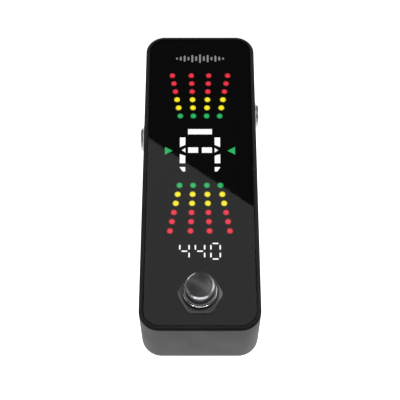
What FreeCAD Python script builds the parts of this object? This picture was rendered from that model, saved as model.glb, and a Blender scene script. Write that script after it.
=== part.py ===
"""Mini floor pedal tuner: die-cast body, black bezel, window with a lit display, footswitch.

Frame: millimetres, +Z up, origin at the centre of the resting face under the rubber pad.
+Y points to the rear (power socket), -Y to the front (footswitch), +X to the right.
"""
import FreeCAD
import Part
import math
import os

V = FreeCAD.Vector

# ---- driving dimensions -------------------------------------------------------------------
WIDTH = 42.7             # at the foot of the casting
LENGTH = 122.0
HEIGHT = 29.3            # top of the bezel above the resting face
CORNER_R = 7.5           # plan radius of the body's vertical corners
DRAFT = 0.3              # how far each wall leans in from foot to top
WALL = 2.0
LIP = 0.35               # width of the casting's lip around the bezel
LIP_HEIGHT = 0.6
RIM = 1.7                # from the foot's outline in to the window's pocket
WINDOW_GAP = 0.15
PAD_T = 0.8              # rubber pad
BASE_T = 1.2             # steel base plate
DECK_T = 2.0             # roof of the casting
BEZEL_T = 1.4
REBATE_FLOOR = 0.5       # bezel's floor under the window
TAPE_T = 0.1
RUN = 0.05               # radial running clearance of sliding pieces
LOOSE = 0.1              # radial clearance of fixed pieces

# heights of the stacked layers
BASE_Z = PAD_T + BASE_T
SEAM_Z = HEIGHT - BEZEL_T
DECK_Z = SEAM_Z - DECK_T
TAPE_Z = SEAM_Z + REBATE_FLOOR
WINDOW_Z = TAPE_Z + TAPE_T
MAIN_BOARD_Z = 6.2
BOARD_T = 1.6
MAIN_TOP = MAIN_BOARD_Z + BOARD_T
FLANGE_T = 2.0           # light shield's flange, clamped under the deck
SHIELD_Z = DECK_Z - FLANGE_T
DISPLAY_BOARD_Z = SHIELD_Z - BOARD_T
LENS_TOP = TAPE_Z - 0.05
LENS_T = 0.8
PORT_Z = HEIGHT / 2      # axis height of jacks, power socket and mode button
LIP_Z = SEAM_Z + LIP_HEIGHT

# display
DISPLAY_Y = 9.7          # centre of the note letter
ROWS = 6
ROW_PITCH = 3.66
FIRST_ROW = 14.8         # first dot row's distance from the letter's centre
INNER_COLUMN = (2.51, 3.38)    # column offsets at the first and last row
OUTER_COLUMN = (7.47, 10.7)
DOT_R = 1.12
ROW_COLOURS = ("green", "yellow", "yellow", "red", "red", "red")
PITCH_Y = -31.25         # centre of the three-figure pitch reading
FIGURE_PITCH = 5.5
OPENING_X = 14.3         # half width of the display opening
OPENING_Y = (-36.2, 45.2)
OPENING_R = 2.0
SHIELD_FLANGE_X = 17.8
SHIELD_FLANGE_Y = (-38.4, 46.8)
SHIELD_FLANGE_R = 1.5
MARK_Y = 50.1            # printed mark near the rear edge

# footswitch
SWITCH_Y = -48.2
SWITCH_TRAVEL = 2.5
BUSHING_R = 6.0
STEM_R = 5.0             # part of the button that slides in the bushing
CAP_R = 5.2              # wider cap that stays above the bushing
BUTTON_TOP = HEIGHT + 10.6
NUT_AF = 14.0
NUT_T = 1.9
WASHER_T = 0.4
BUSHING_TOP = HEIGHT + 4.5
CAP_Z = BUSHING_TOP + SWITCH_TRAVEL + 0.4
SWITCH_HALF = 7.4        # half side of the switch housing
SWITCH_FLOOR_Z = 10.4
SPRING_FOOT_Z = 13.0
SPRING_HEAD_Z = 26.0
FLANGE_Z = 20.4          # underside of the button's flange
CONTACT_RING_T = 0.6
TAG_X = 5.3              # middle of the switch's fixed contacts

# jacks: side is -1 for the output on the left, +1 for the input on the right
JACKS = {"output": (-1, 22.1), "input": (1, 32.9)}
JACK_BARREL_R = 4.5
PLUG_R = 3.25
JACK_BORE_R = 3.8        # plastic body's bore, wider than the metal barrel's
JACK_STICK_OUT = 1.65
JACK_NUT_AF = 11.0
JACK_NUT_T = 1.6
JACK_RECESS_R = 6.7
JACK_RECESS = 1.0
JACK_FACE_X = 18.0       # outer face of the jack's plastic body
JACK_HALF_Y = 5.1
JACK_HALF_Z = PORT_Z - MAIN_TOP
JACK_LENGTH = 27.0
JACK_PAD = 6.2           # half side of the pad inside the wall behind a jack

# rear
DC_X = -4.5
DC_HALF = 4.5
DC_MOUTH_R = 3.15        # mouth for a 5.5 mm power plug
DC_COLLAR_R = 3.9
DC_PIN_R = 1.0
DC_DEPTH = 13.6
MODE_X = 8.0
MODE_R = 2.05
MODE_PLUNGER_R = 1.6

# screws and pegs
BASE_SCREW_R = 1.5
BASE_HEAD_R = 2.7
BOARD_SCREW_R = 1.1
DISPLAY_SCREW_R = 0.9
PEG_R = 1.0
BASE_SCREW = (15.2, 55.2)
BOARD_POSTS = ((15.8, -43.5), (15.8, 49.3))
DISPLAY_SCREW_X = 16.2
DISPLAY_SCREW_Y = (-35.0, 5.0, 43.6)
PEG_X = 14.0
PEG_Y = (-41.0, 50.5)

# main board
HEADER_X, HEADER_Y = 8.5, (-16.5, -11.5)
HEADER_SPLIT = (16.3, 18.5)    # top of the socket, underside of the plug
PIN_HALF = 0.32
TERMINAL_T = 0.5
TERMINAL_HALF = 1.2
CHIP_HALF = 5.0
CHIP_Y = -28.0


# ---- helpers --------------------------------------------------------------------------------
def box(x, y, z):
    """Box from (low, high) pairs."""
    corner = V(x[0], y[0], z[0])
    return Part.makeBox(x[1] - x[0], y[1] - y[0], z[1] - z[0], corner)


def rod(radius, start, end):
    """Round bar between two points."""
    axis = V(*end) - V(*start)
    return Part.makeCylinder(radius, axis.Length, V(*start), axis)


def upright(radius, x, y, z):
    return rod(radius, (x, y, z[0]), (x, y, z[1]))


def cone(r_start, r_end, start, end):
    axis = V(*end) - V(*start)
    return Part.makeCone(r_start, r_end, axis.Length, V(*start), axis)


def outline(half_x, y, radius, z):
    """Closed wire of a rectangle with rounded corners at one height."""
    turn = radius * (1 - math.sqrt(0.5))
    edges = []
    ends = []
    for sx, sy in ((1, 1), (-1, 1), (-1, -1), (1, -1)):
        cx, cy = sx * half_x, y[1] if sy > 0 else y[0]
        along_x = V(cx - sx * radius, cy, z)
        along_y = V(cx, cy - sy * radius, z)
        middle = V(cx - sx * turn, cy - sy * turn, z)
        first, last = (along_y, along_x) if sx == sy else (along_x, along_y)
        edges.append(Part.Arc(first, middle, last).toShape())
        ends.append((first, last))
    for i in range(len(ends)):
        edges.append(Part.makeLine(ends[i][1], ends[(i + 1) % len(ends)][0]))
    return Part.Wire(Part.__sortEdges__(edges))


def plate(half_x, y, radius, z):
    """Flat plate with rounded corners between two heights."""
    return Part.Face(outline(half_x, y, radius, z[0])).extrude(V(0, 0, z[1] - z[0]))


def body_outline(inset, z):
    """The casting's outline at its foot, moved in by inset."""
    half = LENGTH / 2 - inset
    return outline(WIDTH / 2 - inset, (-half, half), CORNER_R - inset, z)


def body_plate(inset, z):
    return Part.Face(body_outline(inset, z[0])).extrude(V(0, 0, z[1] - z[0]))


def leaning_block():
    """The casting's outer form, whose walls lean in towards the top."""
    return Part.makeLoft([body_outline(0, BASE_Z), body_outline(DRAFT, LIP_Z)], True, True)


def prism(points, z):
    """Upright prism on a polygon of (x, y) points."""
    corners = [V(x, y, z[0]) for x, y in points]
    wire = Part.makePolygon(corners + corners[:1])
    return Part.Face(wire).extrude(V(0, 0, z[1] - z[0]))


def hexagon(across_flats, start, end, bore_r, flat_up=True):
    """Hexagonal nut between two points, corners chamfered on its outer end."""
    axis = V(*end) - V(*start)
    corner_r = across_flats / math.sqrt(3)
    turn = math.pi / 6 if flat_up else 0
    points = []
    for i in range(7):
        angle = turn + i * math.pi / 3
        points.append(V(corner_r * math.cos(angle), corner_r * math.sin(angle), 0))
    blank = Part.Face(Part.makePolygon(points)).extrude(V(0, 0, axis.Length))
    chamfer = (corner_r - across_flats * 0.485) * math.tan(math.radians(30))
    lathe = Part.makeCylinder(corner_r * 0.955, axis.Length - chamfer)
    top = Part.makeCone(corner_r * 0.955, across_flats * 0.475, chamfer, V(0, 0, axis.Length - chamfer))
    nut = blank.common(lathe.fuse(top)).cut(Part.makeCylinder(bore_r, axis.Length))
    nut.Placement = FreeCAD.Placement(V(*start), FreeCAD.Rotation(V(0, 0, 1), axis))
    return nut


def edges_at(shape, z, tolerance=0.01):
    """Edges that lie wholly at one height."""
    found = []
    for edge in shape.Edges:
        span = edge.BoundBox
        if abs(span.ZMin - z) < tolerance and abs(span.ZMax - z) < tolerance:
            found.append(edge)
    return found


def end_edges(bar, towards):
    """Round edge at the end of a bar that points in one direction."""
    circles = [edge for edge in bar.Edges if len(edge.Vertexes) == 1]
    return [max(circles, key=lambda edge: edge.Vertexes[0].Point.dot(towards))]


def join(shapes):
    result = shapes[0]
    for shape in shapes[1:]:
        result = result.fuse(shape)
    return result.removeSplitter()


def cut_all(shape, tools):
    return shape.cut(Part.makeCompound(list(tools)))


def four_corners(point):
    x, y = point
    return [(sx * x, sy * y) for sx in (-1, 1) for sy in (-1, 1)]


def post_places():
    return [(sx * x, y) for x, y in BOARD_POSTS for sx in (-1, 1)]


def display_screw_places():
    return [(sx * DISPLAY_SCREW_X, y) for y in DISPLAY_SCREW_Y for sx in (-1, 1)]


# ---- casing ---------------------------------------------------------------------------------
def enclosure():
    """Die-cast box, open below, with posts, jack pads and all its holes."""
    shell = cut_all(leaning_block(), [
        body_plate(WALL, (BASE_Z, DECK_Z)),
        body_plate(DRAFT + LIP, (SEAM_Z, LIP_Z)),
    ])
    additions = [shell]
    for x, y in four_corners(BASE_SCREW):
        additions.append(upright(BASE_SCREW_R + 2.0, x, y, (BASE_Z, DECK_Z)))
    for x, y in post_places():
        additions.append(upright(BOARD_SCREW_R + 1.2, x, y, (MAIN_TOP, DECK_Z)))
    for side, y in JACKS.values():
        reach = sorted((side * JACK_FACE_X, side * (WIDTH / 2 - WALL)))
        additions.append(box(reach, (y - JACK_PAD, y + JACK_PAD), (MAIN_TOP, PORT_Z + JACK_PAD)))
    inside = body_plate(WALL / 2, (BASE_Z, DECK_Z))
    shell = shell.fuse(join(additions).common(inside)).removeSplitter()
    return cut_all(shell, deck_holes() + screw_holes() + wall_holes())


def deck_holes():
    holes = [plate(OPENING_X, OPENING_Y, OPENING_R, (DECK_Z, SEAM_Z))]
    holes.append(upright(BUSHING_R + LOOSE, 0, SWITCH_Y, (DECK_Z, SEAM_Z)))
    for x, y in peg_places():
        holes.append(upright(PEG_R + RUN, x, y, (DECK_Z, SEAM_Z)))
    return holes


def screw_holes():
    holes = []
    for x, y in four_corners(BASE_SCREW):
        holes.append(upright(BASE_SCREW_R, x, y, (BASE_Z, BASE_Z + 10.0)))
    for x, y in post_places():
        holes.append(upright(BOARD_SCREW_R, x, y, (MAIN_TOP, MAIN_TOP + 6.7)))
    for x, y in display_screw_places():
        holes.append(upright(DISPLAY_SCREW_R, x, y, (DECK_Z, DECK_Z + 1.5)))
    return holes


def wall_holes():
    """Jack holes with their nut recesses, and the two holes in the rear wall."""
    holes = []
    for side, y in JACKS.values():
        outer = side * WIDTH / 2
        inner = side * (JACK_FACE_X - 1.0)
        recess_floor = side * (WIDTH / 2 - JACK_RECESS)
        holes.append(rod(JACK_BARREL_R + LOOSE, (inner, y, PORT_Z), (outer, y, PORT_Z)))
        holes.append(rod(JACK_RECESS_R, (recess_floor, y, PORT_Z), (outer, y, PORT_Z)))
    rear = LENGTH / 2
    holes.append(rod(DC_COLLAR_R + LOOSE, (DC_X, rear - WALL, PORT_Z), (DC_X, rear, PORT_Z)))
    holes.append(rod(MODE_R + RUN, (MODE_X, rear - WALL, PORT_Z), (MODE_X, rear, PORT_Z)))
    return holes


def peg_places():
    return [(sx * PEG_X, y) for y in PEG_Y for sx in (-1, 1)]


def top_bezel():
    blank = body_plate(DRAFT + LIP + RUN, (SEAM_Z, HEIGHT))
    blank = blank.makeFillet(0.6, edges_at(blank, HEIGHT))
    pocket = body_plate(RIM, (TAPE_Z, HEIGHT))
    opening = plate(OPENING_X, OPENING_Y, OPENING_R, (SEAM_Z, TAPE_Z))
    bushing_hole = upright(BUSHING_R + LOOSE, 0, SWITCH_Y, (SEAM_Z, TAPE_Z))
    frame = cut_all(blank, [pocket, opening, bushing_hole])
    pegs = [upright(PEG_R, x, y, (DECK_Z + 0.3, SEAM_Z)) for x, y in peg_places()]
    return join([frame] + pegs)


def window_panel():
    sheet = body_plate(RIM + WINDOW_GAP, (WINDOW_Z, HEIGHT))
    sheet = sheet.makeFillet(0.15, edges_at(sheet, HEIGHT))
    return sheet.cut(upright(BUSHING_R + LOOSE, 0, SWITCH_Y, (WINDOW_Z, HEIGHT)))


def window_tape():
    """Black adhesive sheet between the bezel and the window."""
    z = (TAPE_Z, WINDOW_Z)
    margin = 0.3
    sheet = body_plate(RIM + WINDOW_GAP + margin, z)
    opening = plate(OPENING_X + margin, (OPENING_Y[0] - margin, OPENING_Y[1] + margin), OPENING_R, z)
    return cut_all(sheet, [opening, upright(BUSHING_R + 2 * margin, 0, SWITCH_Y, z)])


def screw_sink(x, y):
    """Countersunk hole, and the screw head that fills it."""
    return cone(BASE_HEAD_R, BASE_SCREW_R, (x, y, PAD_T), (x, y, BASE_Z))


def base_plate():
    sinks = [screw_sink(x, y) for x, y in four_corners(BASE_SCREW)]
    return cut_all(body_plate(0, (PAD_T, BASE_Z)), sinks)


def base_screws():
    arm, half_slot = 1.4, 0.3
    z = (PAD_T, PAD_T + 0.8)
    solids = []
    for x, y in four_corners(BASE_SCREW):
        shank = upright(BASE_SCREW_R, x, y, (BASE_Z, BASE_Z + 8.5))
        arms = [
            box((x - arm, x + arm), (y - half_slot, y + half_slot), z),
            box((x - half_slot, x + half_slot), (y - arm, y + arm), z),
        ]
        solids.append(cut_all(join([screw_sink(x, y), shank]), arms))
    return Part.makeCompound(solids)


def rubber_pad():
    """Anti-slip sheet with its corners notched to leave the base screws free."""
    z = (0, PAD_T)
    sheet = body_plate(1.8, z)
    clear, round_r = 4.4, 2.0
    notch_x, notch_y = BASE_SCREW[0] - clear, BASE_SCREW[1] - clear
    tools = []
    for sx, sy in four_corners((1, 1)):
        near_x, near_y = sx * notch_x, sy * notch_y
        mid_x, mid_y = near_x + sx * round_r, near_y + sy * round_r
        tools.append(box(sorted((mid_x, sx * WIDTH)), sorted((near_y, sy * LENGTH)), z))
        tools.append(box(sorted((near_x, sx * WIDTH)), sorted((mid_y, sy * LENGTH)), z))
        tools.append(upright(round_r, mid_x, mid_y, z))
    return cut_all(sheet, tools)


# ---- display --------------------------------------------------------------------------------
def dot_places():
    """(x, y, colour) of every dot; the fan widens away from the note letter."""
    places = []
    for row in range(ROWS):
        share = row / (ROWS - 1)
        inner = INNER_COLUMN[0] + share * (INNER_COLUMN[1] - INNER_COLUMN[0])
        outer = OUTER_COLUMN[0] + share * (OUTER_COLUMN[1] - OUTER_COLUMN[0])
        distance = FIRST_ROW + row * ROW_PITCH
        for up in (-1, 1):
            for x in (-outer, -inner, inner, outer):
                places.append((x, DISPLAY_Y + up * distance, ROW_COLOURS[row]))
    return places


def mirrored(points):
    return [(-x, y) for x, y in points]


def note_segments():
    """Lit segments of the letter A on a sixteen-segment cell, as polygons."""
    half_w, half_h, stem = 7.5, 9.05, 2.05
    inner = half_w - stem
    bar_top, bar_low = 1.12, -1.18
    top = [(-4.5, half_h), (4.5, half_h), (4.5, half_h - 2.3), (-4.5, half_h - 2.3)]
    middle = [(0.7, bar_top), (4.45, bar_top), (4.45, bar_low), (0.7, bar_low)]
    upper = [(inner, 5.4), (half_w, 5.4), (half_w, 1.25), (inner, 2.25)]
    lower = [(inner, -2.45), (half_w, -1.75), (half_w, -5.6), (inner, -5.6)]
    foot = [(inner, -7.2), (half_w, -7.2), (half_w - 0.15, -7.55), (inner + 0.9, -half_h), (inner, -half_h)]
    wedge = [(inner, 0.9), (6.75, -0.1), (inner, -1.05)]
    right = [middle, upper, lower, foot, wedge]
    shapes = [top] + right + [mirrored(points) for points in right]
    return [[(x, DISPLAY_Y + y) for x, y in points] for points in shapes]


def arrow_segments():
    drop, base_x, tip_x, half = 0.3, 13.05, 10.2, 1.65
    arrow = [(base_x, half - drop), (tip_x, -drop), (base_x, -half - drop)]
    return [[(x, DISPLAY_Y + y) for x, y in points] for points in (arrow, mirrored(arrow))]


def level_bar(half, bar, y):
    """Lying segment with pointed ends."""
    tip = bar / 2
    flat = half - tip
    return [(-half, y), (-flat, y + tip), (flat, y + tip), (half, y), (flat, y - tip), (-flat, y - tip)]


def upright_bar(x, low, high, bar):
    """Standing segment with pointed ends."""
    tip = bar / 2
    right = [(x + tip, low + tip), (x + tip, high - tip)]
    left = [(x - tip, high - tip), (x - tip, low + tip)]
    return [(x, low)] + right + [(x, high)] + left


def figure_segments(lit, x_mid):
    """Polygons of one seven-segment figure; lit names its bars a to g."""
    side, rise, bar, gap = 1.64, 2.98, 0.54, 0.5
    bars = {
        "a": level_bar(side - gap, bar, rise),
        "d": level_bar(side - gap, bar, -rise),
        "g": level_bar(side - gap, bar, 0.0),
        "b": upright_bar(side, gap, rise - gap, bar),
        "c": upright_bar(side, gap - rise, -gap, bar),
        "e": upright_bar(-side, gap - rise, -gap, bar),
        "f": upright_bar(-side, gap, rise - gap, bar),
    }
    return [[(x_mid + x, PITCH_Y + y) for x, y in bars[name]] for name in lit]


def pitch_segments():
    """The reading 440 in three seven-segment figures."""
    figures = (("bcfg", -FIGURE_PITCH), ("bcfg", 0.0), ("abcdef", FIGURE_PITCH))
    return [bar for lit, x in figures for bar in figure_segments(lit, x)]


def lens_group(polygons):
    return Part.makeCompound([prism(points, (LENS_TOP - LENS_T, LENS_TOP)) for points in polygons])


def dot_lenses(colour):
    z = (LENS_TOP - LENS_T, LENS_TOP)
    return Part.makeCompound([upright(DOT_R, x, y, z) for x, y, c in dot_places() if c == colour])


def light_shield():
    """Black block that holds the lenses, with a light well under each, on a clamped flange."""
    lens_z = (LENS_TOP - LENS_T, LENS_TOP)
    well_z = (SHIELD_Z, LENS_TOP - LENS_T)
    y = (OPENING_Y[0] + LOOSE, OPENING_Y[1] - LOOSE)
    block = plate(OPENING_X - LOOSE, y, OPENING_R - LOOSE, (DECK_Z, LENS_TOP))
    flange = plate(SHIELD_FLANGE_X, SHIELD_FLANGE_Y, SHIELD_FLANGE_R, (SHIELD_Z, DECK_Z))
    tools = []
    for x, dot_y, _ in dot_places():
        tools.append(upright(DOT_R + 0.01, x, dot_y, lens_z))
        tools.append(upright(DOT_R - 0.15, x, dot_y, well_z))
    for points in note_segments() + arrow_segments():
        tools.append(prism(points, (SHIELD_Z, LENS_TOP)))
    for points in pitch_segments():
        tools.append(prism(points, lens_z))
    half_x, half_y = FIGURE_PITCH * 1.5, 3.7
    tools.append(box((-half_x, half_x), (PITCH_Y - half_y, PITCH_Y + half_y), well_z))
    for x, screw_y in display_screw_places():
        tools.append(upright(DISPLAY_SCREW_R + 0.2, x, screw_y, (SHIELD_Z, DECK_Z)))
    return cut_all(join([block, flange]), tools)


def display_board():
    z = (DISPLAY_BOARD_Z, SHIELD_Z)
    sheet = plate(SHIELD_FLANGE_X, SHIELD_FLANGE_Y, SHIELD_FLANGE_R, z)
    return cut_all(sheet, [upright(DISPLAY_SCREW_R + 0.2, x, y, z) for x, y in display_screw_places()])


def display_screws():
    solids = []
    for x, y in display_screw_places():
        head = upright(2 * DISPLAY_SCREW_R, x, y, (DISPLAY_BOARD_Z - 1.3, DISPLAY_BOARD_Z))
        shank = upright(DISPLAY_SCREW_R, x, y, (DISPLAY_BOARD_Z, DECK_Z + 1.3))
        solids.append(join([head, shank]))
    return Part.makeCompound(solids)


def led(x, y, size_x, size_y):
    z = (SHIELD_Z, SHIELD_Z + 0.7)
    return box((x - size_x / 2, x + size_x / 2), (y - size_y / 2, y + size_y / 2), z)


def dot_leds():
    return Part.makeCompound([led(x, y, 1.5, 0.8) for x, y, _ in dot_places()])


def segment_leds():
    chips = []
    for points in note_segments() + arrow_segments():
        x = sum(p[0] for p in points) / len(points)
        y = sum(p[1] for p in points) / len(points)
        chips.append(led(x, y, 0.6, 0.6))
    for x in (-FIGURE_PITCH, 0.0, FIGURE_PITCH):
        for y in (PITCH_Y - 1.5, PITCH_Y + 1.5):
            chips.append(led(x, y, 3.0, 1.2))
    return Part.makeCompound(chips)


def printed_mark():
    """Row of upright bars like a sound wave, printed on the window near its rear edge."""
    half_row = (4.0, 2.2, 3.4, 1.6, 2.8, 1.8, 1.0)
    pitch, bar_r, ink_t = 1.5, 0.36, 0.03
    z = (HEIGHT, HEIGHT + ink_t)
    bars = [round_bar(0, MARK_Y, bar_r, half_row[0] / 2, z)]
    for i, tall in enumerate(half_row[1:], 1):
        for side in (-1, 1):
            bars.append(round_bar(side * i * pitch, MARK_Y, bar_r, tall / 2, z))
    return Part.makeCompound(bars)


def round_bar(x, y, radius, half_y, z):
    """Slot-shaped plate with round ends."""
    straight = half_y - radius
    left, right = x - radius, x + radius
    top, low = y + straight, y - straight
    edges = [
        Part.makeLine(V(right, low, z[0]), V(right, top, z[0])),
        Part.Arc(V(right, top, z[0]), V(x, y + half_y, z[0]), V(left, top, z[0])).toShape(),
        Part.makeLine(V(left, top, z[0]), V(left, low, z[0])),
        Part.Arc(V(left, low, z[0]), V(x, y - half_y, z[0]), V(right, low, z[0])).toShape(),
    ]
    return Part.Face(Part.Wire(edges)).extrude(V(0, 0, z[1] - z[0]))


# ---- circuit boards -------------------------------------------------------------------------
def jack_terminal(side, y, z):
    """Flat tag down the inner end of a jack body."""
    inner = side * (JACK_FACE_X - JACK_LENGTH)
    x = sorted((inner, inner - side * TERMINAL_T))
    return box(x, (y - TERMINAL_HALF, y + TERMINAL_HALF), z)


def header_pins(z, half):
    """Two rows of eight square pins."""
    pitch = 2.0
    middle = sum(HEADER_Y) / 2
    pins = []
    for i in range(8):
        x = (i - 3.5) * pitch
        for y in (middle - pitch / 2, middle + pitch / 2):
            pins.append(box((x - half, x + half), (y - half, y + half), z))
    return pins


def main_board():
    """Board with a tongue under the rear sockets, a notch for the footswitch and slots for jack tags."""
    z = (MAIN_BOARD_Z, MAIN_TOP)
    front, tongue_root, rear = -46.0, 51.4, 58.0
    wide = box((-17.5, 17.5), (front, tongue_root), z)
    tongue = box((-11.4, 11.4), (tongue_root, rear), z)
    notch_x = SWITCH_HALF + 2.1
    tools = [box((-notch_x, notch_x), (front, SWITCH_Y + SWITCH_HALF + 2.3), z)]
    for x, y in post_places():
        tools.append(upright(BOARD_SCREW_R + 0.2, x, y, z))
    for side, y in JACKS.values():
        inner = side * (JACK_FACE_X - JACK_LENGTH)
        x = sorted((inner + side * LOOSE, inner - side * (TERMINAL_T + LOOSE)))
        half = TERMINAL_HALF + LOOSE
        tools.append(box(x, (y - half, y + half), z))
    return cut_all(join([wide, tongue]), tools)


def board_screws():
    solids = []
    for x, y in post_places():
        head = upright(2 * BOARD_SCREW_R, x, y, (MAIN_BOARD_Z - 1.3, MAIN_BOARD_Z))
        shank = upright(BOARD_SCREW_R, x, y, (MAIN_BOARD_Z, MAIN_TOP + 6.0))
        solids.append(join([head, shank]))
    return Part.makeCompound(solids)


def header_socket():
    block = box((-HEADER_X, HEADER_X), HEADER_Y, (MAIN_TOP, HEADER_SPLIT[0]))
    return cut_all(block, header_pins((MAIN_TOP + 1.7, HEADER_SPLIT[0]), PIN_HALF + 0.08))


def header_plug():
    z = (HEADER_SPLIT[1], DISPLAY_BOARD_Z)
    return cut_all(box((-HEADER_X, HEADER_X), HEADER_Y, z), header_pins(z, PIN_HALF))


def header_contacts():
    return Part.makeCompound(header_pins((MAIN_TOP + 2.2, DISPLAY_BOARD_Z), PIN_HALF))


def tuner_chip():
    top = MAIN_TOP + 1.5
    x = (-CHIP_HALF, CHIP_HALF)
    body = box(x, (CHIP_Y - CHIP_HALF, CHIP_Y + CHIP_HALF), (MAIN_TOP + 0.1, top))
    return body.makeChamfer(0.3, edges_at(body, top))


def chip_leads():
    """Eleven leads on each of the chip's four sides."""
    pitch, half, reach = 0.8, 0.18, 1.0
    z = (MAIN_TOP, MAIN_TOP + 0.9)
    leads = []
    for i in range(11):
        along = (i - 5) * pitch
        for side in (-1, 1):
            out = sorted((side * CHIP_HALF, side * (CHIP_HALF + reach)))
            width = (along - half, along + half)
            leads.append(box(out, (CHIP_Y + width[0], CHIP_Y + width[1]), z))
            leads.append(box(width, (CHIP_Y + out[0], CHIP_Y + out[1]), z))
    return Part.makeCompound(leads)


def crystal():
    can = plate(2.3, (-5.2, 5.2), 2.25, (MAIN_TOP, MAIN_TOP + 3.5))
    can.translate(V(11.5, -27.0, 0))
    return can


def filter_capacitors():
    radius, top = 3.1, MAIN_TOP + 7.5
    cans = []
    for x, y in ((-12.5, -31.0), (-12.5, -22.5), (13.0, 44.5)):
        can = upright(radius, x, y, (MAIN_TOP, top))
        cans.append(can.makeFillet(0.5, edges_at(can, top)))
    return Part.makeCompound(cans)


def voltage_regulator():
    return box((-15.0, -8.5), (39.2, 45.2), (MAIN_TOP, MAIN_TOP + 2.3))


def bypass_relay():
    top = MAIN_TOP + 9.5
    block = box((-3.8, 3.8), (-6.0, 9.0), (MAIN_TOP, top))
    return block.makeFillet(0.6, edges_at(block, top))


# ---- jacks ----------------------------------------------------------------------------------
def jack_pieces(name, side, y):
    """Body, barrel, nut, tip spring and terminal of one quarter-inch jack."""
    face = side * JACK_FACE_X
    inner = side * (JACK_FACE_X - JACK_LENGTH)
    barrel_root = side * (JACK_FACE_X - 2.0)
    barrel_end = side * (WIDTH / 2 + JACK_STICK_OUT)
    bore_end = inner + side * 0.8

    def across(radius, x0, x1):
        return rod(radius, (x0, y, PORT_Z), (x1, y, PORT_Z))

    top = PORT_Z + JACK_HALF_Z
    body = box(sorted((face, inner)), (y - JACK_HALF_Y, y + JACK_HALF_Y), (MAIN_TOP, top))
    slot = box(sorted((bore_end, inner + side * 13.0)), (y - 1.5, y + 1.5), (PORT_Z, top))
    bore = across(JACK_BORE_R, face, bore_end)
    body = cut_all(body, [bore, across(JACK_BARREL_R, face, barrel_root), slot])

    barrel = across(JACK_BARREL_R, barrel_root, barrel_end)
    barrel = barrel.makeFillet(0.6, end_edges(barrel, V(side, 0, 0)))
    barrel = barrel.cut(across(PLUG_R, barrel_root, barrel_end))

    seat = side * (WIDTH / 2 - JACK_RECESS)
    nut = hexagon(JACK_NUT_AF, (seat, y, PORT_Z), (seat + side * JACK_NUT_T, y, PORT_Z), JACK_BARREL_R)

    terminal = jack_terminal(side, y, (MAIN_BOARD_Z - 1.2, PORT_Z + 4.5))
    return {
        name + "_jack_body": body,
        name + "_jack_barrel": barrel,
        name + "_jack_nut": nut,
        name + "_jack_tip_spring": tip_spring(side, y, inner),
        name + "_jack_terminal": terminal,
    }


def tip_spring(side, y, inner):
    """Bent strip, rooted at the jack's inner end, whose belly dips into the bore."""
    thick = 0.4
    root_z = PORT_Z + 4.2
    belly_z = PORT_Z + 2.35
    line = ((1.0, root_z), (3.5, root_z), (7.0, belly_z), (8.0, belly_z), (10.5, root_z - 0.6))
    low = [V(inner + side * x, y - 1.2, z) for x, z in line]
    high = [V(inner + side * x, y - 1.2, z + thick) for x, z in reversed(line)]
    outline = low + high
    face = Part.Face(Part.makePolygon(outline + outline[:1]))
    return face.extrude(V(0, 2.4, 0))


# ---- rear connectors ------------------------------------------------------------------------
def power_socket_body():
    """Block with a round mouth through the rear wall and a slot for the sprung contact."""
    rear = LENGTH / 2 - WALL
    mouth_end = rear - 9.5
    back = rear - DC_DEPTH
    block = box((DC_X - DC_HALF, DC_X + DC_HALF), (back, rear), (MAIN_TOP, PORT_Z + 5.0))
    collar = rod(DC_COLLAR_R, (DC_X, rear, PORT_Z), (DC_X, rear + WALL - 0.4, PORT_Z))
    mouth = rod(DC_MOUTH_R, (DC_X, mouth_end, PORT_Z), (DC_X, rear + WALL, PORT_Z))
    pin_hole = rod(DC_PIN_R, (DC_X, back, PORT_Z), (DC_X, mouth_end, PORT_Z))
    slot = box((DC_X - 1.3, DC_X + 1.3), (back + 1.0, rear - 0.8), (PORT_Z - 5.0, PORT_Z))
    slot = slot.cut(rod(DC_PIN_R + 0.6, (DC_X, back, PORT_Z), (DC_X, mouth_end, PORT_Z)))
    return cut_all(join([block, collar]), [mouth, pin_hole, slot])


def power_socket_pin():
    rear = LENGTH / 2 - WALL
    pin = rod(DC_PIN_R, (DC_X, rear - DC_DEPTH - 0.8, PORT_Z), (DC_X, rear + 0.6, PORT_Z))
    return pin.makeFillet(DC_PIN_R / 2, end_edges(pin, V(0, 1, 0)))


def power_socket_spring():
    """Flat contact strip under the plug's barrel."""
    rear = LENGTH / 2 - WALL
    thick = 0.3
    root_z, belly_z = PORT_Z - 4.3, PORT_Z - 2.6
    line = ((rear - 12.4, root_z), (rear - 8.5, root_z), (rear - 4.0, belly_z), (rear - 3.0, belly_z),
            (rear - 1.2, belly_z - 0.6))
    low = [V(DC_X - 1.1, y, z) for y, z in line]
    high = [V(DC_X - 1.1, y, z + thick) for y, z in reversed(line)]
    face = Part.Face(Part.makePolygon(low + high + low[:1]))
    return face.extrude(V(2.2, 0, 0))


def mode_button():
    """Round key through the rear wall, kept in by a flange."""
    rear = LENGTH / 2
    root = rear - WALL - 1.0
    cap = rod(MODE_R, (MODE_X, root, PORT_Z), (MODE_X, rear + 0.8, PORT_Z))
    cap = cap.makeFillet(0.35, end_edges(cap, V(0, 1, 0)))
    flange = rod(MODE_R + 0.75, (MODE_X, root, PORT_Z), (MODE_X, rear - WALL - RUN, PORT_Z))
    return join([cap, flange])


def mode_switch_body():
    face = LENGTH / 2 - WALL - 2.0
    half, depth = 3.0, 3.4
    block = box((MODE_X - half, MODE_X + half), (face - depth, face), (MAIN_TOP, PORT_Z + half))
    return block.cut(rod(MODE_PLUNGER_R + RUN, (MODE_X, face - 1.2, PORT_Z), (MODE_X, face, PORT_Z)))


def mode_switch_plunger():
    root = LENGTH / 2 - WALL - 1.0
    return rod(MODE_PLUNGER_R, (MODE_X, root - 1.6, PORT_Z), (MODE_X, root, PORT_Z))


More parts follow.
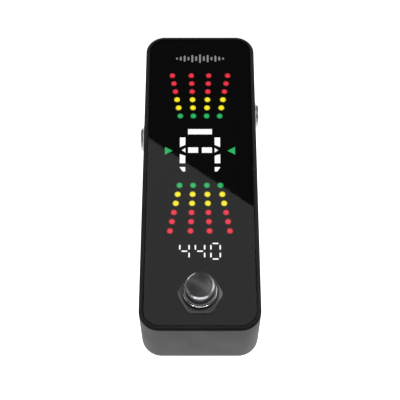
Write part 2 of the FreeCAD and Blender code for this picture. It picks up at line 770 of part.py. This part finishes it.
# ---- footswitch -----------------------------------------------------------------------------
def polyline(points):
    return [Part.makeLine(start, end) for start, end in zip(points, points[1:])]


def upright_turned(profile):
    """Solid of revolution about the footswitch axis from a closed profile in the XZ plane."""
    face = Part.Face(Part.Wire(profile))
    solid = face.revolve(V(0, 0, 0), V(0, 0, 1), 360)
    solid.translate(V(0, SWITCH_Y, 0))
    return solid


def footswitch_button():
    """Hollow stem with a flange at its foot and a domed cap, turned from one profile.

    The dome ends in a tiny level tip, so that its faces don't meet in one point."""
    crown, dome, tip_r, flange_r = 1.5, 0.55, 0.3, 6.3
    foot, flange_top = FLANGE_Z, SHIELD_Z - RUN
    side_top = BUTTON_TOP - dome - crown
    flat_r = CAP_R - crown
    bore_r, core_r, core_top = 4.4, 3.2, BUTTON_TOP - 3.0
    turn = math.sqrt(0.5)
    dome_r = (flat_r ** 2 + dome ** 2) / (2 * dome)
    dome_half = BUTTON_TOP - dome_r + math.sqrt(dome_r ** 2 - flat_r ** 2 / 4)
    crown_mid = V(flat_r + crown * turn, 0, side_top + crown * turn)
    up = [(foot, bore_r), (foot, flange_r), (flange_top, flange_r), (flange_top, STEM_R), (CAP_Z, STEM_R),
          (CAP_Z, CAP_R), (side_top, CAP_R)]
    down = [(BUTTON_TOP, tip_r), (BUTTON_TOP, 0), (core_top, 0), (core_top, core_r), (SPRING_HEAD_Z, core_r),
            (SPRING_HEAD_Z, bore_r), (foot, bore_r)]
    crown_end = V(flat_r, 0, side_top + crown)
    edges = polyline([V(r, 0, z) for z, r in up])
    edges.append(Part.Arc(V(CAP_R, 0, side_top), crown_mid, crown_end).toShape())
    edges.append(Part.Arc(crown_end, V(flat_r / 2, 0, dome_half), V(tip_r, 0, BUTTON_TOP)).toShape())
    edges += polyline([V(r, 0, z) for z, r in down])
    return upright_turned(edges)


def footswitch_bushing():
    tube = upright(BUSHING_R, 0, SWITCH_Y, (DECK_Z, BUSHING_TOP))
    tube = tube.makeFillet(0.6, edges_at(tube, BUSHING_TOP))
    flange = upright(7.2, 0, SWITCH_Y, (SHIELD_Z, DECK_Z))
    return join([tube, flange]).cut(upright(STEM_R + RUN, 0, SWITCH_Y, (SHIELD_Z, BUSHING_TOP)))


def footswitch_nut():
    z0 = HEIGHT + WASHER_T
    return hexagon(NUT_AF, (0, SWITCH_Y, z0), (0, SWITCH_Y, z0 + NUT_T), BUSHING_R, flat_up=False)


def footswitch_washer():
    z = (HEIGHT, HEIGHT + WASHER_T)
    return upright(6.9, 0, SWITCH_Y, z).cut(upright(BUSHING_R + LOOSE, 0, SWITCH_Y, z))


def switch_tag(side, z, slack=0.0):
    """Fixed contact that runs down the housing's wall and out through its floor."""
    half_t, half_y = 0.3 + slack, 1.25 + slack
    x = sorted((side * (TAG_X - half_t), side * (TAG_X + half_t)))
    return box(x, (SWITCH_Y - half_y, SWITCH_Y + half_y), z)


def footswitch_housing():
    half = SWITCH_HALF
    block = plate(half, (-half, half), 1.0, (SWITCH_FLOOR_Z, SHIELD_Z))
    block.translate(V(0, SWITCH_Y, 0))
    tools = [upright(6.4, 0, SWITCH_Y, (SPRING_FOOT_Z, SHIELD_Z))]
    for side in (-1, 1):
        tools.append(switch_tag(side, (SWITCH_FLOOR_Z, SPRING_FOOT_Z)))
    return cut_all(block, tools)


def footswitch_contact_ring():
    z = (FLANGE_Z - CONTACT_RING_T, FLANGE_Z)
    return upright(6.2, 0, SWITCH_Y, z).cut(upright(4.6, 0, SWITCH_Y, z))


def footswitch_terminals():
    contact_top = FLANGE_Z - CONTACT_RING_T - SWITCH_TRAVEL - 0.1
    return Part.makeCompound([switch_tag(side, (7.0, contact_top)) for side in (-1, 1)])


def footswitch_spring():
    """Round-wire spring: level half turns joined by half turns that climb one pitch."""
    wire_r, mean_r, turns = 0.4, 3.75, 6
    low = SPRING_FOOT_Z + wire_r
    pitch = (SPRING_HEAD_Z - SPRING_FOOT_Z - 2 * wire_r) / turns

    def half_turn(start_x, z, pivot_z, axis):
        section = Part.Face(Part.Wire([Part.makeCircle(wire_r, V(start_x, 0, z), V(0, 1, 0))]))
        return section.revolve(V(0, 0, pivot_z), axis, 180)

    halves = []
    for turn in range(turns + 1):
        z = low + turn * pitch
        halves.append(half_turn(-mean_r, z, z, V(0, 0, 1)))
        if turn < turns:
            halves.append(half_turn(mean_r, z, z + pitch / 2, V(pitch, 0, 2 * mean_r)))
    spring = halves[0].multiFuse(halves[1:])
    spring.translate(V(0, SWITCH_Y, 0))
    return spring


def footswitch_wires():
    """Insulated wires from the switch's tags to the main board's front edge."""
    wire_r, board_y = 0.6, -36.0
    z = MAIN_TOP + wire_r
    start_y = SWITCH_Y + 1.25
    wires = [rod(wire_r, (x, start_y, z), (x, board_y, z)) for x in (-TAG_X, TAG_X)]
    return Part.makeCompound(wires)


# ---- the whole tuner ------------------------------------------------------------------------
def all_pieces():
    pieces = {
        "enclosure": enclosure(),
        "top_bezel": top_bezel(),
        "window_panel": window_panel(),
        "window_tape": window_tape(),
        "base_plate": base_plate(),
        "base_screws": base_screws(),
        "rubber_pad": rubber_pad(),
        "light_shield": light_shield(),
        "red_dot_lenses": dot_lenses("red"),
        "yellow_dot_lenses": dot_lenses("yellow"),
        "green_dot_lenses": dot_lenses("green"),
        "note_lenses": lens_group(note_segments()),
        "arrow_lenses": lens_group(arrow_segments()),
        "pitch_lenses": lens_group(pitch_segments()),
        "printed_mark": printed_mark(),
        "display_board": display_board(),
        "display_screws": display_screws(),
        "dot_leds": dot_leds(),
        "segment_leds": segment_leds(),
        "header_plug": header_plug(),
        "header_contacts": header_contacts(),
        "header_socket": header_socket(),
        "main_board": main_board(),
        "board_screws": board_screws(),
        "tuner_chip": tuner_chip(),
        "chip_leads": chip_leads(),
        "crystal": crystal(),
        "filter_capacitors": filter_capacitors(),
        "voltage_regulator": voltage_regulator(),
        "bypass_relay": bypass_relay(),
        "power_socket_body": power_socket_body(),
        "power_socket_pin": power_socket_pin(),
        "power_socket_spring": power_socket_spring(),
        "mode_button": mode_button(),
        "mode_switch_body": mode_switch_body(),
        "mode_switch_plunger": mode_switch_plunger(),
        "footswitch_button": footswitch_button(),
        "footswitch_bushing": footswitch_bushing(),
        "footswitch_nut": footswitch_nut(),
        "footswitch_washer": footswitch_washer(),
        "footswitch_housing": footswitch_housing(),
        "footswitch_contact_ring": footswitch_contact_ring(),
        "footswitch_terminals": footswitch_terminals(),
        "footswitch_spring": footswitch_spring(),
        "footswitch_wires": footswitch_wires(),
    }
    for name, (side, y) in JACKS.items():
        pieces.update(jack_pieces(name, side, y))
    return pieces


def main():
    os.makedirs("parts", exist_ok=True)
    for name, shape in all_pieces().items():
        shape.exportStep(os.path.join("parts", name + ".step"))


main()
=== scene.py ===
"""Looks of the pedal tuner: materials, footswitch spring, light table, lights and camera."""
import math

import bmesh
import bpy
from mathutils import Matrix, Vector


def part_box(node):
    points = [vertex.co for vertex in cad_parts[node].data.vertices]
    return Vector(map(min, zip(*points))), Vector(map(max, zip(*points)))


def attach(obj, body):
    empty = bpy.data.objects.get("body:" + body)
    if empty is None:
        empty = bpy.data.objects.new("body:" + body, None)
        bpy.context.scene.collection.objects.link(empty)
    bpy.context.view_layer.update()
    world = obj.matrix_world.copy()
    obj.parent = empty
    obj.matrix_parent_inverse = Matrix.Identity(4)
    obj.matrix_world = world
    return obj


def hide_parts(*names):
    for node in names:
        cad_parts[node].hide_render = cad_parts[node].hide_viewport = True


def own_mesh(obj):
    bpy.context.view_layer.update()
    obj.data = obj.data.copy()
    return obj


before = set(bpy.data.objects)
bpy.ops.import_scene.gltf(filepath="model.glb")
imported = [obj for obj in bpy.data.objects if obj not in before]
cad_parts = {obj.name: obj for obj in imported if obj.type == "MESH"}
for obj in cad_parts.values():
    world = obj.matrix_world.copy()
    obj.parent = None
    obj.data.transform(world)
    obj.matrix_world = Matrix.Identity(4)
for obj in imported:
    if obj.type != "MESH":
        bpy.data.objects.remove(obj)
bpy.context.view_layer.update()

MM = 0.001

BODY_LOW, BODY_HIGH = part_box("enclosure")
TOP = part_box("top_bezel")[1].z
FRONT = BODY_LOW.y
WIDTH = BODY_HIGH.x - BODY_LOW.x

CAMERA_BACK = 162.3 * MM     # camera's distance in front of the body's centre
CAMERA_UP = TOP + 303.0 * MM
CAMERA_PITCH = math.radians(63.55)    # below the horizon
CAMERA_LENS = 84.3           # focal length and sensor width are in millimetres
CAMERA_SENSOR = 36.0
CAMERA_NEAREST = 0.01

FLOOR_REACH = 4.0            # metres each way
GLOW_NEAR = 1.50             # floor's own light beside the body
GLOW_FAR = 0.82              # and beyond GLOW_REACH
GLOW_REACH = 22 * MM

SOFTBOX_HEIGHT = 0.62        # metres above the floor
SOFTBOX_WIDTH = 0.9
SOFTBOX_OVERLAP = 0.01       # reach past the window's front edge
SOFTBOX_RADIANCE = 0.68
LEFT_SHARE, RIGHT_SHARE = 0.02, 0.98            # shares of the body's width
DIAGONAL_LEFT, DIAGONAL_RIGHT = 0.625, 0.375    # shares of its length, where the diagonal ends

FRONT_PLACE, RIGHT_PLACE = (0.0, -0.72, 0.34), (0.62, 0.12, 0.30)
# each light: name, place, width and height in metres, radiance
FILLS = (
    ("front_fill", FRONT_PLACE, (0.75, 0.22), 1.2),
    ("right_fill", RIGHT_PLACE, (0.45, 0.22), 3.0),
    ("left_fill", (-0.70, -0.10, 0.40), (0.35, 0.35), 2.2),
)
GLINTS = (
    ("front_glint", FRONT_PLACE, (1.00, 0.20), 38.0),
    ("right_glint", RIGHT_PLACE, (0.45, 0.22), 36.0),
    ("rear_left_glint", (-0.42, 0.62, 0.17), (0.45, 0.14), 14.0),
)
GLINTING_NODES = ("footswitch_button", "footswitch_bushing")
AIR_COLOUR = (0.065, 0.065, 0.067)

CREST_DEPTH = 0.3 * MM       # faces this close to the top count as the rim's crest, where a highlight is painted
WINDOW_IOR = 1.49            # acrylic
SPRING_WIRE_R = 0.4 * MM
UNLIT_BLACK = (0.006, 0.006, 0.006)
LAMP_GREEN = (0.026, 0.50, 0.135)


# ---- node graphs ----------------------------------------------------------------------------
class Graph:
    """A material's node tree, built one node at a time."""

    def __init__(self, name):
        self.material = bpy.data.materials.new(name)
        self.material.use_nodes = True
        self.tree = self.material.node_tree
        self.tree.nodes.clear()
        self.output = self.tree.nodes.new("ShaderNodeOutputMaterial")

    def node(self, kind, inputs=None, **settings):
        made = self.tree.nodes.new("ShaderNode" + kind)
        for key, value in settings.items():
            setattr(made, key, value)
        for key, value in (inputs or {}).items():
            self.feed(made.inputs[key], value)
        return made

    def feed(self, socket, value):
        if isinstance(value, bpy.types.NodeSocket):
            self.tree.links.new(value, socket)
        else:
            socket.default_value = value

    def math(self, operation, *values, clamp=False):
        made = self.node("Math", operation=operation, use_clamp=clamp)
        for socket, value in zip(made.inputs, values):
            self.feed(socket, value)
        return made.outputs[0]

    def mix(self, share, first, second):
        made = self.node("Mix", data_type="RGBA")
        self.feed(made.inputs["Factor"], share)
        self.feed(made.inputs["A"], first)
        self.feed(made.inputs["B"], second)
        return made.outputs["Result"]

    def spread(self, value, low, high, out_low=0.0, out_high=1.0):
        made = self.node("MapRange", {"Value": value, "From Min": low, "From Max": high,
                                      "To Min": out_low, "To Max": out_high})
        return made.outputs["Result"]

    def place(self, stretch=(1.0, 1.0, 1.0)):
        where = self.node("TexCoord").outputs["Object"]
        return self.node("Mapping", {"Vector": where, "Scale": stretch}).outputs["Vector"]

    def noise(self, size, detail=3.0, stretch=(1.0, 1.0, 1.0)):
        made = self.node("TexNoise", {"Vector": self.place(stretch), "Scale": 1.0 / size,
                                      "Detail": detail, "Roughness": 0.5})
        return made.outputs["Fac"]

    def edges(self, radius):
        """1 on sharp edges, 0 on open faces."""
        soft = self.node("Bevel", {"Radius": radius}, samples=4).outputs["Normal"]
        true = self.node("NewGeometry").outputs["Normal"]
        match = self.node("VectorMath", {0: soft, 1: true}, operation="DOT_PRODUCT")
        return self.spread(match.outputs["Value"], 0.99, 0.82)

    def close(self, shader):
        self.tree.links.new(shader, self.output.inputs["Surface"])
        return self.material


def rgba(colour):
    return (*colour, 1.0)


def scaled(colour, factor):
    return tuple(min(1.0, channel * factor) for channel in colour)


def solid_finish(name, colour, metallic=0.0, rough=0.4, grain=0.3 * MM, bump=0.05, vary=0.15,
                 wear=0.3, worn=None, coat=0.0, round_edge=0.12 * MM, specular=0.5):
    """General finish: mottled colour, grainy gloss and bump, edges rounded and lighter with wear.
    """
    g = Graph(name)
    cloud = g.noise(9 * MM, 4.0)
    fine = g.noise(grain, 3.0)
    tone = g.math("ADD", g.math("MULTIPLY", cloud, 0.7), g.math("MULTIPLY", fine, 0.3))
    darker, paler = scaled(colour, 1 - vary), scaled(colour, 1 + vary)
    base = g.mix(g.spread(tone, 0.3, 0.7), rgba(darker), rgba(paler))
    patchy = g.spread(g.noise(1.6 * MM, 5.0), 0.42, 0.62)
    wear_and_highlight = g.math("MULTIPLY", g.math("MULTIPLY", g.edges(0.25 * MM), patchy), wear, clamp=True)
    base = g.mix(wear_and_highlight, base, rgba(worn or scaled(colour, 2.2)))
    gloss = g.spread(tone, 0.25, 0.75, rough * 0.85, rough * 1.15)
    gloss = g.math("ADD", gloss, g.math("MULTIPLY", wear_and_highlight, 0.12))
    rounded = g.node("Bevel", {"Radius": round_edge}, samples=4).outputs["Normal"]
    relief = g.node("Bump", {"Strength": bump, "Distance": 0.05 * MM, "Height": fine,
                             "Normal": rounded})
    shader = g.node("BsdfPrincipled", {
        "Base Color": base, "Metallic": metallic, "Roughness": gloss,
        "Normal": relief.outputs["Normal"],
        "Coat Weight": coat, "Coat Roughness": 0.08, "Specular IOR Level": specular,
    })
    return g.close(shader.outputs["BSDF"])


def cast_metal():
    """Satin grey powder coat on die-cast metal, with a fine pebble and small colour drift."""
    return solid_finish("cast_metal", (0.068, 0.069, 0.071), rough=0.55, grain=0.22 * MM, bump=0.25,
                        vary=0.06, wear=0.3, worn=(0.20, 0.20, 0.21), round_edge=0.25 * MM,
                        specular=0.15)


def satin_black_rim():
    """Moulded black rim that soaks up the light, with a highlight painted as lighter grey along its
    level crest.
    """
    g = Graph("satin_black_rim")
    cloud = g.noise(7 * MM, 4.0)
    fine = g.noise(0.2 * MM, 3.0)
    base = g.mix(cloud, rgba((0.006, 0.006, 0.006)), rgba((0.009, 0.009, 0.009)))
    normal = g.node("SeparateXYZ", {"Vector": g.node("NewGeometry").outputs["Normal"]})
    height = g.node("SeparateXYZ", {"Vector": g.place()}).outputs["Z"]
    # painted highlight: faces along the rim's level top are mixed towards a lighter grey
    crest = g.math("MULTIPLY", g.spread(normal.outputs["Z"], 0.85, 0.98),
                   g.math("GREATER_THAN", height, TOP - CREST_DEPTH))
    wear_and_highlight = g.math("MULTIPLY", crest, g.spread(cloud, 0.2, 0.6, 0.7, 1.0))
    base = g.mix(wear_and_highlight, base, rgba((0.060, 0.060, 0.062)))
    gloss = g.spread(fine, 0.3, 0.7, 0.38, 0.5)
    relief = g.node("Bump", {"Strength": 0.08, "Distance": 0.03 * MM, "Height": fine})
    shader = g.node("BsdfPrincipled", {"Base Color": base, "Roughness": gloss,
                                       "Specular IOR Level": 0.2,
                                       "Normal": relief.outputs["Normal"]})
    return g.close(shader.outputs["BSDF"])


def smoked_window():
    """Dark clear sheet: mirror-like skin over a grey film, with hairlines and finger smudges."""
    g = Graph("smoked_window_finish")
    smudge = g.noise(16 * MM, 4.0)
    hairs = g.noise(0.1 * MM, 2.0, stretch=(1.0, 0.03, 1.0))
    scratch = g.spread(hairs, 0.68, 0.75)
    gloss = g.math("ADD", g.spread(smudge, 0.35, 0.65, 0.01, 0.035),
                   g.math("MULTIPLY", scratch, 0.03))
    film = g.mix(smudge, rgba((0.34, 0.345, 0.355)), rgba((0.37, 0.375, 0.385)))
    skin = g.node("BsdfGlossy", {"Color": rgba((1.0, 1.0, 1.0)), "Roughness": gloss})
    through = g.node("BsdfTransparent", {"Color": film})
    facing = g.node("Fresnel", {"IOR": WINDOW_IOR}).outputs["Fac"]
    outer = g.node("MixShader", {"Fac": facing, 1: through.outputs[0], 2: skin.outputs[0]})
    clear = g.node("BsdfTransparent", {"Color": rgba((1.0, 1.0, 1.0))})
    inside = g.node("NewGeometry").outputs["Backfacing"]
    both = g.node("MixShader", {"Fac": inside, 1: outer.outputs[0], 2: clear.outputs[0]})
    return g.close(both.outputs[0])


def lit_lens(name, colour, strength, falloff=0.0):
    """Diffusing lens lit from below; falloff dims it towards its rim."""
    g = Graph(name)
    haze = g.noise(0.35 * MM, 2.0)
    glow = g.mix(haze, rgba(scaled(colour, 0.93)), rgba(colour))
    glow = g.mix(g.math("MULTIPLY", g.edges(0.9 * MM), falloff), glow, rgba(scaled(colour, 0.05)))
    light = g.node("Emission", {"Color": glow, "Strength": strength})
    relief = g.node("Bump", {"Strength": 0.1, "Distance": 0.03 * MM, "Height": haze})
    body = g.node("BsdfPrincipled", {"Base Color": rgba(scaled(colour, 0.5)), "Roughness": 0.45,
                                     "Normal": relief.outputs["Normal"]})
    both = g.node("AddShader", {0: light.outputs[0], 1: body.outputs["BSDF"]})
    return g.close(both.outputs[0])


def printed_ink():
    """Pale grey screen print with slightly uneven cover."""
    g = Graph("printed_ink")
    cover = g.noise(0.25 * MM, 3.0)
    base = g.mix(cover, rgba((0.80, 0.80, 0.81)), rgba((0.92, 0.92, 0.93)))
    relief = g.node("Bump", {"Strength": 0.1, "Distance": 0.02 * MM, "Height": cover})
    shader = g.node("BsdfPrincipled", {"Base Color": base, "Roughness": 0.5,
                                       "Normal": relief.outputs["Normal"]})
    return g.close(shader.outputs["BSDF"])


def dark_plating(name, colour, rough, coat):
    """Dark plated steel with a soft body; a coat above zero adds crisp highlights."""
    return solid_finish(name, colour, metallic=1.0, rough=rough, grain=0.18 * MM, bump=0.04,
                        vary=0.08, wear=0.25, worn=(0.35, 0.35, 0.36), coat=coat)


def pebbled_rubber():
    return solid_finish("pebbled_rubber", (0.018, 0.018, 0.019), rough=0.8, grain=0.7 * MM,
                        bump=0.9, vary=0.2, wear=0.25, worn=(0.06, 0.06, 0.06))


def board_laminate():
    return solid_finish("board_laminate", (0.02, 0.09, 0.045), rough=0.35, grain=0.5 * MM, bump=0.1,
                        coat=0.4)


def paint(material, *nodes):
    for name in nodes:
        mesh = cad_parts[name].data
        mesh.materials.clear()
        mesh.materials.append(material)


def paint_casing():
    paint(cast_metal(), "enclosure")
    paint(satin_black_rim(), "top_bezel")
    paint(smoked_window(), "window_panel")
    paint(printed_ink(), "printed_mark")
    paint(solid_finish("black_steel", (0.03, 0.03, 0.032), metallic=0.3, rough=0.45, bump=0.2,
                       vary=0.1, worn=(0.25, 0.25, 0.26)), "base_plate")
    paint(pebbled_rubber(), "rubber_pad")
    paint(solid_finish("zinc_steel", (0.42, 0.42, 0.43), metallic=1.0, rough=0.3, bump=0.06),
          "base_screws", "board_screws", "display_screws")
    paint(solid_finish("black_foam_tape", UNLIT_BLACK, rough=0.9, wear=0.0), "window_tape")


def paint_display():
    paint(solid_finish("matte_black_mask", UNLIT_BLACK, rough=0.9, wear=0.0), "light_shield")
    paint(lit_lens("red_lens", (0.95, 0.042, 0.070), 2.7, 1.0), "red_dot_lenses")
    paint(lit_lens("yellow_lens", (0.95, 0.80, 0.022), 3.2, 0.75), "yellow_dot_lenses")
    paint(lit_lens("green_lens", LAMP_GREEN, 2.8, 0.9), "green_dot_lenses")
    paint(lit_lens("green_arrow_lens", LAMP_GREEN, 2.6), "arrow_lenses")
    paint(lit_lens("white_lens", (1.0, 0.99, 0.97), 3.0), "note_lenses", "pitch_lenses")
    paint(solid_finish("lamp_phosphor", (0.7, 0.68, 0.5), rough=0.5), "dot_leds", "segment_leds")


def paint_electronics():
    paint(board_laminate(), "display_board", "main_board")
    paint(solid_finish("chip_resin", (0.02, 0.02, 0.021), rough=0.55, bump=0.2),
          "tuner_chip", "voltage_regulator", "header_plug", "header_socket",
          "mode_switch_body", "mode_switch_plunger")
    paint(solid_finish("tinned_metal", (0.6, 0.6, 0.6), metallic=1.0, rough=0.35),
          "chip_leads", "header_contacts", "output_jack_terminal", "input_jack_terminal",
          "power_socket_pin")
    paint(solid_finish("drawn_aluminium", (0.55, 0.56, 0.58), metallic=1.0, rough=0.3),
          "crystal", "filter_capacitors")
    paint(solid_finish("relay_case", (0.5, 0.5, 0.47), rough=0.4), "bypass_relay")
    paint(solid_finish("jack_resin", (0.014, 0.014, 0.015), rough=0.5, bump=0.15),
          "output_jack_body", "input_jack_body", "power_socket_body", "footswitch_housing")
    paint(solid_finish("spring_brass", (0.55, 0.40, 0.15), metallic=1.0, rough=0.3),
          "output_jack_tip_spring", "input_jack_tip_spring", "power_socket_spring",
          "footswitch_contact_ring", "footswitch_terminals")
    paint(solid_finish("wire_sleeve", (0.35, 0.02, 0.02), rough=0.45), "footswitch_wires")


def paint_hardware():
    paint(dark_plating("smoked_chrome", (0.115, 0.115, 0.12), 0.36, 0.6), "footswitch_button")
    paint(dark_plating("black_nickel", (0.19, 0.19, 0.193), 0.20, 1.0), "footswitch_bushing")
    paint(dark_plating("matt_black_nickel", (0.24, 0.24, 0.243), 0.55, 0.0),
          "footswitch_nut", "footswitch_washer")
    paint(solid_finish("satin_nickel", (0.62, 0.62, 0.63), metallic=0.9, rough=0.38,
                       grain=0.15 * MM, worn=(0.8, 0.8, 0.8)),
          "output_jack_barrel", "input_jack_barrel", "output_jack_nut", "input_jack_nut")
    paint(solid_finish("key_resin", (0.03, 0.03, 0.031), rough=0.25, bump=0.03), "mode_button")


# ---- footswitch spring ----------------------------------------------------------------------
def wire_mesh(name, points, radius, sides=12):
    """Round wire through a row of points, closed at both ends."""
    mesh = bmesh.new()
    rings = []
    for i, point in enumerate(points):
        along = (points[min(i + 1, len(points) - 1)] - points[max(i - 1, 0)]).normalized()
        across = along.cross(Vector((0, 0, 1))).normalized()
        upward = across.cross(along)
        ring = []
        for k in range(sides):
            turn = 2 * math.pi * k / sides
            outward = math.cos(turn) * across + math.sin(turn) * upward
            ring.append(mesh.verts.new(point + radius * outward))
        rings.append(ring)
    for near, far in zip(rings, rings[1:]):
        for k in range(sides):
            after = (k + 1) % sides
            mesh.faces.new((near[k], near[after], far[after], far[k]))
    mesh.faces.new(rings[0])
    mesh.faces.new(reversed(rings[-1]))
    bmesh.ops.recalc_face_normals(mesh, faces=mesh.faces)
    for face in mesh.faces:
        face.smooth = len(face.verts) == 4
    data = bpy.data.meshes.new(name)
    mesh.to_mesh(data)
    mesh.free()
    wire = bpy.data.objects.new(name, data)
    bpy.context.scene.collection.objects.link(wire)
    return wire


def footswitch_coil():
    """Continuous coil in the space of the CAD spring."""
    low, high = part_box("footswitch_spring")
    coil_r = (high.x - low.x) / 2 - SPRING_WIRE_R
    middle = (low + high) / 2
    turns, steps_per_turn = 7.5, 48
    climbing_turns = turns - 2.0      # the first and last turns lie level
    steps = round(turns * steps_per_turn)
    points = []
    for i in range(steps + 1):
        turn = i / steps_per_turn
        climb = min(max(turn - 1.0, 0.0), climbing_turns) / climbing_turns
        z = low.z + SPRING_WIRE_R + (high.z - low.z - 2 * SPRING_WIRE_R) * climb
        angle = 2 * math.pi * turn
        points.append(Vector((middle.x + coil_r * math.cos(angle),
                              middle.y + coil_r * math.sin(angle), z)))
    coil = wire_mesh("spring_coil", points, SPRING_WIRE_R)
    coil.data.materials.append(
        solid_finish("spring_steel", (0.40, 0.40, 0.40), metallic=1.0, rough=0.3))
    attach(coil, "housing")
    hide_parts("footswitch_spring")
    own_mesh(coil)


# ---- studio ---------------------------------------------------------------------------------
def distance_from_body(g):
    """Distance on the floor from the body's outline, zero beneath it."""
    where = g.node("SeparateXYZ", {"Vector": g.place()})
    half = (BODY_HIGH - BODY_LOW) / 2
    squares = []
    for axis, reach in (("X", half.x), ("Y", half.y)):
        past = g.math("SUBTRACT", g.math("ABSOLUTE", where.outputs[axis]), reach)
        squares.append(g.math("POWER", g.math("MAXIMUM", past, 0.0), 2.0))
    return g.math("SQRT", g.math("ADD", *squares))


def floor():
    """Plain pale light table, brightest beside the pedal, where it lights the walls' feet."""
    mesh = bpy.data.meshes.new("studio_floor")
    corners = [(-FLOOR_REACH, -FLOOR_REACH, 0), (FLOOR_REACH, -FLOOR_REACH, 0),
               (FLOOR_REACH, FLOOR_REACH, 0), (-FLOOR_REACH, FLOOR_REACH, 0)]
    mesh.from_pydata(corners, [], [(0, 1, 2, 3)])
    plane = bpy.data.objects.new("studio_floor", mesh)
    bpy.context.scene.collection.objects.link(plane)
    g = Graph("pale_floor")
    shade = g.node("BsdfDiffuse", {"Color": rgba((0.86, 0.86, 0.86))})
    strength = g.spread(distance_from_body(g), 0.0, GLOW_REACH, GLOW_NEAR, GLOW_FAR)
    glow = g.node("Emission", {"Color": rgba((1.0, 1.0, 1.0)), "Strength": strength})
    both = g.node("AddShader", {0: shade.outputs[0], 1: glow.outputs[0]})
    mesh.materials.append(g.close(both.outputs[0]))


def area_light(name, place, aim, size, radiance):
    """Rectangular soft light; radiance is what a mirror pointed at it would show."""
    light = bpy.data.lights.new(name, "AREA")
    light.shape = "RECTANGLE"
    light.size, light.size_y = size
    light.energy = radiance * size[0] * size[1] * math.pi
    lamp = bpy.data.objects.new(name, light)
    lamp.location = place
    lamp.rotation_euler = (Vector(aim) - Vector(place)).to_track_quat("-Z", "Y").to_euler()
    bpy.context.scene.collection.objects.link(lamp)
    return lamp


def mirrored_point(camera_place, across, along, height):
    """Where the camera sees one height mirrored in the window.

    The window point is given as shares of the body's width, from its left wall, and of its
    length, from the front."""
    point = Vector((BODY_LOW.x + across * WIDTH, FRONT + along * (BODY_HIGH.y - FRONT), TOP))
    ray = point - camera_place
    return point + Vector((ray.x, ray.y, -ray.z)) * ((height - TOP) / -ray.z)


def overhead_softbox(camera_place):
    """Softbox whose straight rear edge crosses the window's reflection as a diagonal.

    It reaches forward only as far as the window's front edge mirrors, so the rim stays dark."""
    left = mirrored_point(camera_place, LEFT_SHARE, DIAGONAL_LEFT, SOFTBOX_HEIGHT)
    right = mirrored_point(camera_place, RIGHT_SHARE, DIAGONAL_RIGHT, SOFTBOX_HEIGHT)
    front = mirrored_point(camera_place, LEFT_SHARE, 0.0, SOFTBOX_HEIGHT)
    direction = (right - left).normalized()
    inward = Vector((direction.y, -direction.x, 0))
    size = (SOFTBOX_WIDTH, (front - left).dot(inward) + SOFTBOX_OVERLAP)
    centre = (left + right) / 2 + inward * (size[1] / 2)
    below = centre - Vector((0, 0, 1))
    light = area_light("overhead_softbox", centre, below, size, SOFTBOX_RADIANCE)
    light.rotation_euler = (0, 0, math.atan2(direction.y, direction.x))


def only_on(lamp, *nodes):
    """Limits a light to some CAD nodes."""
    group = bpy.data.collections.new(lamp.name + "_receivers")
    for name in nodes:
        group.objects.link(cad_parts[name])
    lamp.light_linking.receiver_collection = group


def lights(camera_place):
    """Softbox overhead, soft fills, and bright strips that light only button and bushing."""
    overhead_softbox(camera_place)
    aim = (0, 0, TOP)
    for name, place, size, radiance in FILLS:
        area_light(name, place, aim, size, radiance)
    for name, place, size, radiance in GLINTS:
        only_on(area_light(name, place, aim, size, radiance), *GLINTING_NODES)


def studio_air():
    """Faint even light from all round."""
    world = bpy.data.worlds.new("studio_air")
    world.use_nodes = True
    world.node_tree.nodes["Background"].inputs["Color"].default_value = rgba(AIR_COLOUR)
    bpy.context.scene.world = world


def hide_from_mirrors(*nodes):
    """Keeps pieces out of every reflection, because the photo's window doesn't mirror them."""
    for name in nodes:
        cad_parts[name].visible_glossy = False


def camera():
    """Looks down on the pedal from in front, like a product shot over a stage floor."""
    data = bpy.data.cameras.new("product_camera")
    data.sensor_width = CAMERA_SENSOR
    data.lens = CAMERA_LENS
    data.clip_start = CAMERA_NEAREST
    seen = bpy.data.objects.new("product_camera", data)
    place = Vector((0.0, -CAMERA_BACK, CAMERA_UP))
    look = Vector((0.0, math.cos(CAMERA_PITCH), -math.sin(CAMERA_PITCH)))
    seen.location = place
    seen.rotation_euler = look.to_track_quat("-Z", "Y").to_euler()
    bpy.context.scene.collection.objects.link(seen)
    bpy.context.scene.camera = seen
    return place


paint_casing()
paint_display()
paint_electronics()
paint_hardware()
footswitch_coil()
floor()
lights(camera())
studio_air()
hide_from_mirrors(*GLINTING_NODES, "footswitch_nut", "footswitch_washer")
bpy.context.scene.view_settings.view_transform = "Standard"
